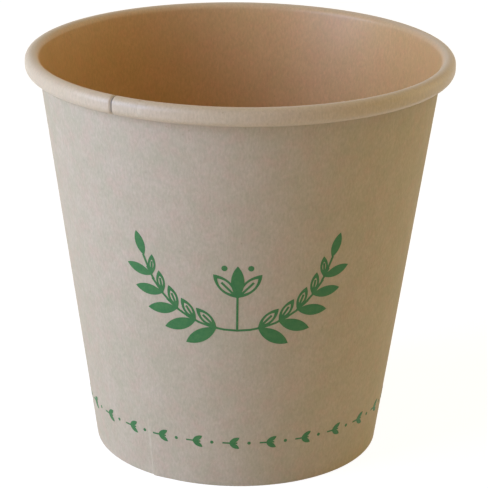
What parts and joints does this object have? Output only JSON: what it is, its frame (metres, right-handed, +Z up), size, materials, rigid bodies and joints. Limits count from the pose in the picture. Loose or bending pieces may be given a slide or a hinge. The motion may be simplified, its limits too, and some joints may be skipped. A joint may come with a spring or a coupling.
{
  "type": "paper cup",
  "caption": "Tapered single-wall hot-drink cup of unbleached bamboo-fibre paperboard with a rolled rim, a lapped side seam, a recessed bottom and a green leaf print.",
  "frame": {"origin": "centre of the foot ring, on the plane that the cup stands on", "axes": "+Z up along the cup's axis; the printed sprigs face -Y, and the slit of the side seam is on the rim 34 degrees to their left (towards -X)"},
  "size_m": [0.09, 0.09, 0.0861],
  "materials": {
    "wall_board": "matte",
    "bottom_board": "matte",
    "lining_film": "satin",
    "print_ink": "matte"
  },
  "bodies": {
    "root": {"side_wall": "wall_board", "wall_lining": "lining_film", "bottom_disc": "bottom_board", "bottom_lining": "lining_film", "printed_sprigs": "print_ink", "printed_band": "print_ink"}
  },
  "joints": []
}
